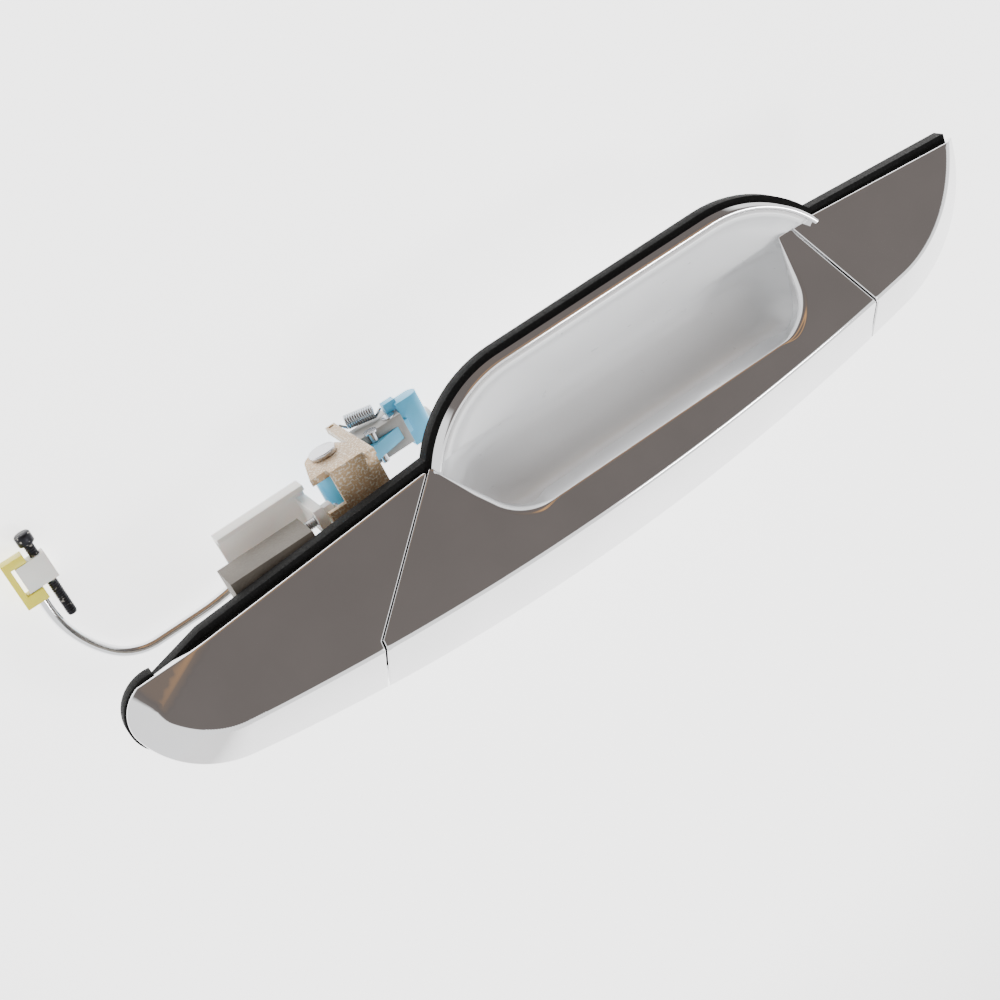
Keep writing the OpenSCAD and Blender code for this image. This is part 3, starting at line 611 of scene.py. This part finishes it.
def cupShape():
    c = cupSettings
    centre = np.array([outline["archX"], -4.0])
    mouthC = archC
    floorC = np.array([outline["archX"], c["floorY"]])
    n = 288
    verts, faces = [], []

    def rings(grow, zLift):
        opening = stadiumTest(mouthC, outline["archHalf"], c["mouthRadius"] + grow, c["backY"] + grow)
        mouth = rayLoop(centre, opening, n)
        floor = rayLoop(centre, stadiumTest(floorC, c["floorHalf"], c["floorRadius"] + grow), n)
        inner = rayLoop(centre, stadiumTest(floorC, c["floorHalf"] - 1, max(c["floorRadius"] - c["turn"], 2)), n)
        zf = c["floorZ"] - zLift
        top = np.where(mouth[:, 1] > chordY, 4.4, c["mouthTop"])
        out = [np.column_stack([mouth, top])]
        shoulder = top - 0.3
        out.append(np.column_stack([mouth, shoulder]))
        for s in (0.12, 0.3, 0.5, 0.66, 0.78):
            out.append(np.column_stack([mouth + (floor - mouth) * s, shoulder + (zf - shoulder) * s]))
        a = mouth + (floor - mouth) * 0.78
        az = shoulder + (zf - shoulder) * 0.78
        for t in np.linspace(0.15, 1, 7):
            p = (1 - t) ** 2 * a + 2 * t * (1 - t) * floor + t ** 2 * inner
            z = (1 - t) ** 2 * az + 2 * t * (1 - t) * zf + t ** 2 * zf
            out.append(np.column_stack([p, z]))
        return out

    inside, outside = rings(0, 0), rings(c["wall"] - 0.02, c["wall"])
    ringsAll = inside[::-1] + outside
    for r in ringsAll:
        verts.append(r)
    m = len(ringsAll)
    for k in range(m - 1):
        for i in range(n):
            j = (i + 1) % n
            faces.append((k * n + i, (k + 1) * n + i, (k + 1) * n + j, k * n + j))
    faces.append(tuple(range(n)))
    faces.append(tuple((m - 1) * n + i for i in range(n))[::-1])
    return newPiece("cupSkin", np.concatenate(verts), faces)


print("finger cup")
cup = cupShape()
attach(cup, "base")
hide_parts("finger_cup")


def tube(name, path, radius, sides=24):
    # a round wire along a path of 3-D points
    path = np.array(path, float)
    t = np.gradient(path, axis=0)
    t /= np.linalg.norm(t, axis=1)[:, None]
    side = np.cross(t[0], [0, 0, 1.0])
    if np.linalg.norm(side) < 0.1:
        side = np.cross(t[0], [0, 1.0, 0])
    verts, faces = [], []
    angles = np.linspace(0, 2 * math.pi, sides, endpoint=False)
    ends = [(0, 0.6, -0.8), (0, 0.9, -0.3)] + [(i, 1, 0) for i in range(len(path))] + [
        (len(path) - 1, 0.9, 0.3), (len(path) - 1, 0.6, 0.8)]
    for i, scale, push in ends:
        side = side - t[i] * (side @ t[i])
        side /= np.linalg.norm(side)
        other = np.cross(t[i], side)
        bulge = radius * 0.25 * push
        verts.append(path[i] + t[i] * bulge + radius * scale * (
            np.cos(angles)[:, None] * side + np.sin(angles)[:, None] * other))
    m = len(ends)
    for k in range(m - 1):
        for j in range(sides):
            jj = (j + 1) % sides
            faces.append((k * sides + j, k * sides + jj, (k + 1) * sides + jj, (k + 1) * sides + j))
    faces.append(tuple(range(sides))[::-1])
    faces.append(tuple((m - 1) * sides + j for j in range(sides)))
    return newPiece(name, np.concatenate(verts), faces)


def threaded(name, start, direction, length, radius, pitch=0.5, depth=0.16, head=None):
    # a turned thread with a chamfered start; head is a list of (distance, radius) steps at the far end
    d = np.array(direction, float)
    d /= np.linalg.norm(d)
    u = np.cross(d, [0, 0, 1.0]) if abs(d[2]) < 0.9 else np.cross(d, [1.0, 0, 0])
    u /= np.linalg.norm(u)
    v = np.cross(d, u)
    sides = 32
    rows = int(length / pitch * 8)
    angles = np.linspace(0, 2 * math.pi, sides, endpoint=False)
    verts, faces = [], []
    stations = [(length * k / rows, None) for k in range(rows + 1)]
    if head:
        stations += head
    for dist, r in stations:
        if r is None:
            phase = (dist / pitch - angles / (2 * math.pi)) % 1
            wave = np.abs(phase * 2 - 1)
            ease = min(1, dist / pitch, (length - dist) / pitch + 0.2)
            rad = radius - depth * (1 - wave) * ease - 0.3 * max(0, 1 - dist / pitch)
        else:
            rad = np.full(sides, r)
        verts.append(np.array(start) + d * dist + rad[:, None] * (
            np.cos(angles)[:, None] * u + np.sin(angles)[:, None] * v))
    m = len(stations)
    for k in range(m - 1):
        for j in range(sides):
            jj = (j + 1) % sides
            faces.append((k * sides + j, k * sides + jj, (k + 1) * sides + jj, (k + 1) * sides + j))
    faces.append(tuple(range(sides))[::-1])
    faces.append(tuple((m - 1) * sides + j for j in range(sides)))
    return newPiece(name, np.concatenate(verts), faces)


def stand(piece, body, node):
    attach(piece, body)
    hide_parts(node)
    return piece


# The bent rod that pulls the door latch, from the hook in the crank to the clip
rodSettings = {
    "radius": 1.5, "hookAt": (65.0, -17.1, -35.5), "hook": 6.5, "hookBend": 4.0, "heading": 8.0,
    "run": 44.0, "easy": 60.0, "turnRun": 14.0, "bends": ((16.0, 50.0), (32.0, 40.0)), "tail": 9.0,
}


def rodPath():
    # walks along the rod in its own plane: straight runs and right-hand bends
    r = rodSettings
    p, h, out = np.array([0.0, -r["hook"]]), 90.0, []

    def run(length, n):
        nonlocal p
        d = np.array([math.cos(math.radians(h)), math.sin(math.radians(h))])
        for k in range(n):
            out.append(p + d * length * k / n)
        p = p + d * length

    def bend(radius, angle):
        nonlocal p, h
        n = max(4, int(angle / 4))
        for k in range(n):
            a = angle * k / n
            out.append(p + radius * np.array([math.sin(math.radians(h)) - math.sin(math.radians(h - a)),
                                              math.cos(math.radians(h - a)) - math.cos(math.radians(h))]))
        p = p + radius * np.array([math.sin(math.radians(h)) - math.sin(math.radians(h - angle)),
                                   math.cos(math.radians(h - angle)) - math.cos(math.radians(h))])
        h -= angle

    run(r["hook"], 4)
    bend(r["hookBend"], 90 - r["heading"])
    run(r["run"], 16)
    bend(r["easy"], r["heading"])
    run(r["turnRun"], 6)
    for radius, angle in r["bends"]:
        bend(radius, angle)
    end = p.copy()
    run(r["tail"], 5)
    out.append(p)
    at = np.array(r["hookAt"])
    return [(at[0] + q[0], at[1] + q[1], at[2]) for q in out], at + [end[0], end[1], 0]


print("rod, springs and threads")
rodLine, rodEnd = rodPath()
rod = stand(tube("latchRod", rodLine, rodSettings["radius"]), "rod", "latch_rod")
clipAt = rodEnd + [0, -5, 0]
stud = stand(threaded("threadedStud", clipAt + [-4.8, 10.5, -0.6], (0, -1, 0), 23.6, 1.5, 0.7, 0.22,
                      [(23.7, 1.3), (23.75, 2.2), (24.0, 2.4), (26.6, 2.4), (27.0, 2.1)]),
             "rod", "threaded_stud")


def coilPath(start, along, radius, turns, length, first, last, perTurn=28):
    # a helix along a direction, its ends running straight on by first and last
    along = np.array(along, float) / np.linalg.norm(along)
    u = np.array([0, 1.0, 0]) - along * along[1]
    u /= np.linalg.norm(u)
    v = np.cross(along, u)
    out = []
    n = int(turns * perTurn)
    for k in range(n + 1):
        a = 2 * math.pi * turns * k / n
        out.append(np.array(start) + along * length * k / n + radius * (math.cos(a) * u + math.sin(a) * v))
    return [out[0] - v * first] + out + [out[-1] + v * last]


gripSpring = tube("gripSpring", coilPath((-54, 16, 2), (1, 0, 0), 2.4, 7, 8.5, 4, 3.8), 0.45, 12)
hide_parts("grip_spring")
lug, tail = np.array([47.5, -30.4, -30.5]), np.array([59.5, -31.0, -35.5])
pull = (tail - lug) / np.linalg.norm(tail - lug)
coil = coilPath(lug + pull * 2.2, pull, 1.8, 12, np.linalg.norm(tail - lug) - 4.4, 0.01, 0.01)
crankSpring = tube("crankSpring", [lug + pull * 0.1] + coil[1:-1] + [tail - pull * 0.1], 0.4, 12)
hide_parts("crank_spring")
guideScrew = stand(threaded("guideScrew", (74.9, -20, -12), (1, 0, 0), 23.6, 1.5, 0.6, 0.2, [(23.62, 1.2)]),
                   "base", "guide_screw")


def softened(node, width, segments=2):
    # the CAD part with small rounded edges
    source = nodes[node]
    mesh = source.data.copy()
    mesh.name = node + "Soft"
    shape = bmesh.new()
    shape.from_mesh(mesh)
    bmesh.ops.remove_doubles(shape, verts=shape.verts, dist=1e-6)
    bmesh.ops.dissolve_limit(shape, angle_limit=math.radians(1.5), verts=shape.verts, edges=shape.edges)
    shape.to_mesh(mesh)
    shape.free()
    if mesh.has_custom_normals:
        bpy.context.view_layer.objects.active = None
    mesh.polygons.foreach_set("use_smooth", [True] * len(mesh.polygons))
    piece = bpy.data.objects.new(node.replace("_", "") + "Soft", mesh)
    bpy.context.scene.collection.objects.link(piece)
    edge = piece.modifiers.new("edges", "BEVEL")
    edge.width = width * mm
    edge.segments = segments
    edge.limit_method = "ANGLE"
    edge.angle_limit = math.radians(35)
    edge.harden_normals = True
    piece.data.materials.clear()
    piece.data.materials.append(finishes[slotOf[node]])
    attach(piece, source["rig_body"])
    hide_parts(node)
    return piece


# Finishes. Colours are linear.
def finish(name, colour, metal=0.0, rough=0.4, spread=0.08, grain=900, bump=0.1, bumpSize=400,
           coat=0.0, speckle=None, sheen=0.0, subsurface=0.0, specular=0.5):
    mat = bpy.data.materials.new(name)
    mat.use_nodes = True
    tree = mat.node_tree
    nodesOf, link = tree.nodes, tree.links.new
    shader = nodesOf["Principled BSDF"]
    shader.inputs["Metallic"].default_value = metal
    shader.inputs["Coat Weight"].default_value = coat
    shader.inputs["Specular IOR Level"].default_value = specular
    shader.inputs["Sheen Weight"].default_value = sheen
    if subsurface:
        shader.inputs["Subsurface Weight"].default_value = subsurface
        shader.inputs["Subsurface Scale"].default_value = 0.002
    place = nodesOf.new("ShaderNodeTexCoord")
    broad = nodesOf.new("ShaderNodeTexNoise")
    broad.inputs["Scale"].default_value = 60
    broad.inputs["Detail"].default_value = 5
    fine = nodesOf.new("ShaderNodeTexNoise")
    fine.inputs["Scale"].default_value = grain
    fine.inputs["Detail"].default_value = 4
    link(place.outputs["Object"], broad.inputs["Vector"])
    link(place.outputs["Object"], fine.inputs["Vector"])
    tint = nodesOf.new("ShaderNodeValToRGB")
    dark = [c * (1 - spread * 2) for c in colour]
    light = [min(1, c * (1 + spread)) for c in colour]
    tint.color_ramp.elements[0].position, tint.color_ramp.elements[1].position = 0.3, 0.7
    tint.color_ramp.elements[0].color = (*dark, 1)
    tint.color_ramp.elements[1].color = (*light, 1)
    link(broad.outputs["Fac"], tint.inputs["Fac"])
    colourOut = tint.outputs["Color"]
    if speckle:
        spots = nodesOf.new("ShaderNodeTexNoise")
        spots.inputs["Scale"].default_value = speckle["scale"]
        spots.inputs["Detail"].default_value = 2
        link(place.outputs["Object"], spots.inputs["Vector"])
        mask = nodesOf.new("ShaderNodeValToRGB")
        mask.color_ramp.elements[0].position = speckle["from"]
        mask.color_ramp.elements[1].position = speckle["to"]
        link(spots.outputs["Fac"], mask.inputs["Fac"])
        mix = nodesOf.new("ShaderNodeMix")
        mix.data_type = "RGBA"
        mix.inputs[7].default_value = (*speckle["colour"], 1)
        link(mask.outputs["Color"], mix.inputs[0])
        link(colourOut, mix.inputs[6])
        colourOut = mix.outputs[2]
    link(colourOut, shader.inputs["Base Color"])
    roughness = nodesOf.new("ShaderNodeMapRange")
    roughness.inputs["To Min"].default_value = max(0.02, rough * 0.75)
    roughness.inputs["To Max"].default_value = min(1, rough * 1.3)
    link(fine.outputs["Fac"], roughness.inputs["Value"])
    link(roughness.outputs["Result"], shader.inputs["Roughness"])
    relief = nodesOf.new("ShaderNodeTexNoise")
    relief.inputs["Scale"].default_value = bumpSize
    relief.inputs["Detail"].default_value = 3
    link(place.outputs["Object"], relief.inputs["Vector"])
    height = nodesOf.new("ShaderNodeBump")
    height.inputs["Strength"].default_value = bump
    height.inputs["Distance"].default_value = 0.0004
    link(relief.outputs["Fac"], height.inputs["Height"])
    link(height.outputs["Normal"], shader.inputs["Normal"])
    return mat


print("finishes")
finishes = {
    "chrome": finish("chromePlate", (0.80, 0.80, 0.81), 1, 0.045, 0.02, 300, 0.004, 90),
    "cup_chrome": finish("cupChrome", (0.95, 0.965, 0.98), 0.08, 0.3, 0.012, 300, 0.015, 70),
    "rubber": finish("softRubber", (0.004, 0.0042, 0.0042), 0, 0.75, 0.15, 1400, 0.25, 1600, specular=0.15),
    "base_nylon": finish("glassNylon", (0.12, 0.105, 0.085), 0, 0.6, 0.12, 1200, 0.3, 1100),
    "brass": finish("turnedBrass", (0.62, 0.43, 0.16), 1, 0.28, 0.08),
    "screw_steel": finish("screwZinc", (0.46, 0.46, 0.47), 1, 0.3, 0.1),
    "pin_steel": finish("pinZinc", (0.58, 0.58, 0.6), 1, 0.22, 0.06),
    "spring_steel": finish("springWire", (0.42, 0.45, 0.48), 1, 0.24, 0.06),
    "gold_zinc": finish("goldPassivate", (0.42, 0.29, 0.17), 0.6, 0.42, 0.2, 900, 0.2, 1400,
                        speckle={"scale": 1500, "from": 0.5, "to": 0.64, "colour": (0.62, 0.56, 0.46)}),
    "black_steel": finish("darkPhosphate", (0.03, 0.03, 0.034), 1, 0.42, 0.15, 900, 0.15, 1200,
                          speckle={"scale": 900, "from": 0.62, "to": 0.7, "colour": (0.4, 0.38, 0.35)}),
    "white_nylon": finish("naturalNylon", (0.80, 0.80, 0.76), 0, 0.38, 0.03, 700, 0.06, 500, subsurface=0.15),
    "black_nylon": finish("blackNylon", (0.018, 0.018, 0.02), 0, 0.48, 0.1, 1100, 0.15, 900),
    "blue_nylon": finish("blueAcetal", (0.10, 0.50, 0.78), 0, 0.3, 0.05, 700, 0.06, 500, subsurface=0.1),
    "bronze": finish("sinteredBronze", (0.45, 0.30, 0.14), 1, 0.4, 0.1),
    "weight_zinc": finish("castZinc", (0.36, 0.355, 0.34), 0.55, 0.5, 0.1, 800, 0.2, 700),
    "rod_steel": finish("brightWire", (0.78, 0.79, 0.81), 1, 0.14, 0.04, 900, 0.03, 900),
    "yellow_nylon": finish("yellowNylon", (0.80, 0.72, 0.05), 0, 0.36, 0.04, 700, 0.06, 500, subsurface=0.1),
}
slotOf = {}
for m in frame["record"]["materials"]:
    for node in m.get("nodes", m.get("components", [])):
        slotOf[node] = m["slot"]
for name, slot in {
        "gasket": "rubber", "base_frame": "base_nylon", "threaded_inserts": "brass",
        "bezel_screws": "screw_steel", "bump_stops": "rubber", "hinge_pins": "pin_steel",
        "grip_spring": "spring_steel", "crank_bracket": "gold_zinc", "bracket_rivets": "pin_steel",
        "pivot_pin": "pin_steel", "pivot_clip": "black_steel", "crank_spring": "spring_steel",
        "guide_screw": "screw_steel", "guide_nut": "white_nylon", "rod_guide": "white_nylon",
        "grip_carrier": "black_nylon", "grip_screws": "screw_steel", "arm_cap": "white_nylon",
        "bell_crank": "blue_nylon", "pivot_bush": "bronze", "balance_weight": "weight_zinc",
        "weight_rivets": "pin_steel", "rod_bush": "white_nylon", "latch_rod": "rod_steel",
        "clip_barrel": "white_nylon", "threaded_stud": "black_steel", "clip_latch": "yellow_nylon"}.items():
    slotOf.setdefault(name, slot)
for name, node in nodes.items():
    if name in slotOf and name not in ("bezel", "grip_shell", "finger_cup"):
        node.data.materials.clear()
        node.data.materials.append(finishes[slotOf[name]])
for piece in bezelParts + [grip]:
    piece.data.materials.append(finishes["chrome"])
cup.data.materials.append(finishes["cup_chrome"])
rod.data.materials.append(finishes["rod_steel"])
stud.data.materials.append(finishes["black_steel"])
guideScrew.data.materials.append(finishes["screw_steel"])
for piece in (gripSpring, crankSpring):
    piece.data.materials.append(finishes["spring_steel"])
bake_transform(gripSpring)
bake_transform(crankSpring)

print("softened parts")
softEdges = {"base_frame": 0.3, "crank_bracket": 0.25, "bell_crank": 0.35, "balance_weight": 0.5,
             "rod_guide": 0.35, "guide_nut": 0.25, "clip_barrel": 0.4, "clip_latch": 0.35,
             "grip_carrier": 0.3, "bracket_rivets": 0.3, "pivot_pin": 0.25, "gasket": 0.5}
for name, width in softEdges.items():
    softened(name, width)

# Camera: nearly square on the front face, with the object turned in the frame
cameraSettings = {"target": (37.0, 0.0, 0.0),
                  "toward": (math.tan(math.radians(14)), -math.tan(math.radians(25)), 1.0),
                  "distance": 520.0, "roll": 214.0, "lens": 67.75}
print("camera and light")
toward = Vector(cameraSettings["toward"]).normalized()
flat = (Vector((1, 0, 0)) - toward * toward.x).normalized()
upright = toward.cross(flat)
roll = math.radians(cameraSettings["roll"])
right = flat * math.cos(roll) - upright * math.sin(roll)
up = flat * math.sin(roll) + upright * math.cos(roll)
camera = bpy.data.objects.new("camera", bpy.data.cameras.new("camera"))
camera.data.lens = cameraSettings["lens"]
camera.data.sensor_width = 36
camera.data.clip_start = 0.01
turn = Matrix((right, up, toward)).transposed().to_4x4()
camera.matrix_world = Matrix.Translation((Vector(cameraSettings["target"])
                                          + toward * cameraSettings["distance"]) * mm) @ turn
bpy.context.scene.collection.objects.link(camera)
bpy.context.scene.camera = camera

# Pale table under the object. It glows far brighter than the lamps light it, washing out the shadows, brightest
# round the object and fading outward: a painted pool of light
floorZ = cadBox[0][2]
ground = newPiece("table", [(-3000, -3000, floorZ / mm - 0.2), (3000, -3000, floorZ / mm - 0.2),
                            (3000, 3000, floorZ / mm - 0.2), (-3000, 3000, floorZ / mm - 0.2)], [(0, 1, 2, 3)])
paper = bpy.data.materials.new("paleTable")
paper.use_nodes = True
paper.node_tree.nodes["Principled BSDF"].inputs["Base Color"].default_value = (0.93, 0.93, 0.93, 1)
paper.node_tree.nodes["Principled BSDF"].inputs["Roughness"].default_value = 0.9
paper.node_tree.nodes["Principled BSDF"].inputs["Emission Color"].default_value = (1, 1, 1, 1)
# painted light: the table's own glow, not light from the lamps
paper.node_tree.nodes["Principled BSDF"].inputs["Emission Strength"].default_value = 2.4
# the glow fades away from the object, so that the sloping band mirrors a soft grey
paperTree = paper.node_tree
paperPlace = paperTree.nodes.new("ShaderNodeTexCoord")
paperReach = paperTree.nodes.new("ShaderNodeVectorMath")
paperReach.operation = "LENGTH"
paperGlowFade = paperTree.nodes.new("ShaderNodeMapRange")
paperGlowFade.inputs["From Min"].default_value = 0.22
paperGlowFade.inputs["From Max"].default_value = 0.5
paperGlowFade.inputs["To Min"].default_value = 1.0
paperGlowFade.inputs["To Max"].default_value = 0.12
paperTree.links.new(paperPlace.outputs["Object"], paperReach.inputs[0])
paperTree.links.new(paperReach.outputs["Value"], paperGlowFade.inputs["Value"])
paperTree.links.new(paperGlowFade.outputs["Result"], paperTree.nodes["Principled BSDF"].inputs["Emission Color"])
ground.data.materials.append(paper)

# Soft white surround with one grey zone, which the tilted front face mirrors
world = bpy.data.worlds.new("studio")
bpy.context.scene.world = world
world.use_nodes = True
wt = world.node_tree
background = wt.nodes["Background"]
aim = wt.nodes.new("ShaderNodeTexCoord")
dot = wt.nodes.new("ShaderNodeVectorMath")
dot.operation = "DOT_PRODUCT"
dot.inputs[1].default_value = Vector((-0.12, -0.76, 0.64)).normalized()
wt.links.new(aim.outputs["Generated"], dot.inputs[0])
zone = wt.nodes.new("ShaderNodeValToRGB")
ramp = zone.color_ramp
ramp.elements[0].position, ramp.elements[0].color = 0.66, (1, 1, 1, 1)
ramp.elements[1].position, ramp.elements[1].color = 0.745, (0.135, 0.120, 0.112, 1)
for position, colour in ((0.86, (0.12, 0.105, 0.098, 1)), (0.93, (0.15, 0.12, 0.10, 1)),
                         (0.965, (0.55, 0.30, 0.13, 1)), (0.99, (0.14, 0.11, 0.09, 1))):
    stop = ramp.elements.new(position)
    stop.color = colour
wt.links.new(dot.outputs["Value"], zone.inputs["Fac"])
wt.links.new(zone.outputs["Color"], background.inputs["Color"])
background.inputs["Strength"].default_value = 1.7

sun = bpy.data.objects.new("key", bpy.data.lights.new("key", "SUN"))
sun.data.energy = 1.0
sun.data.angle = math.radians(12)
sunFrom = Vector((-0.35, 0.35, 0.8))
sun.rotation_euler = sunFrom.to_track_quat("Z", "Y").to_euler()
bpy.context.scene.collection.objects.link(sun)
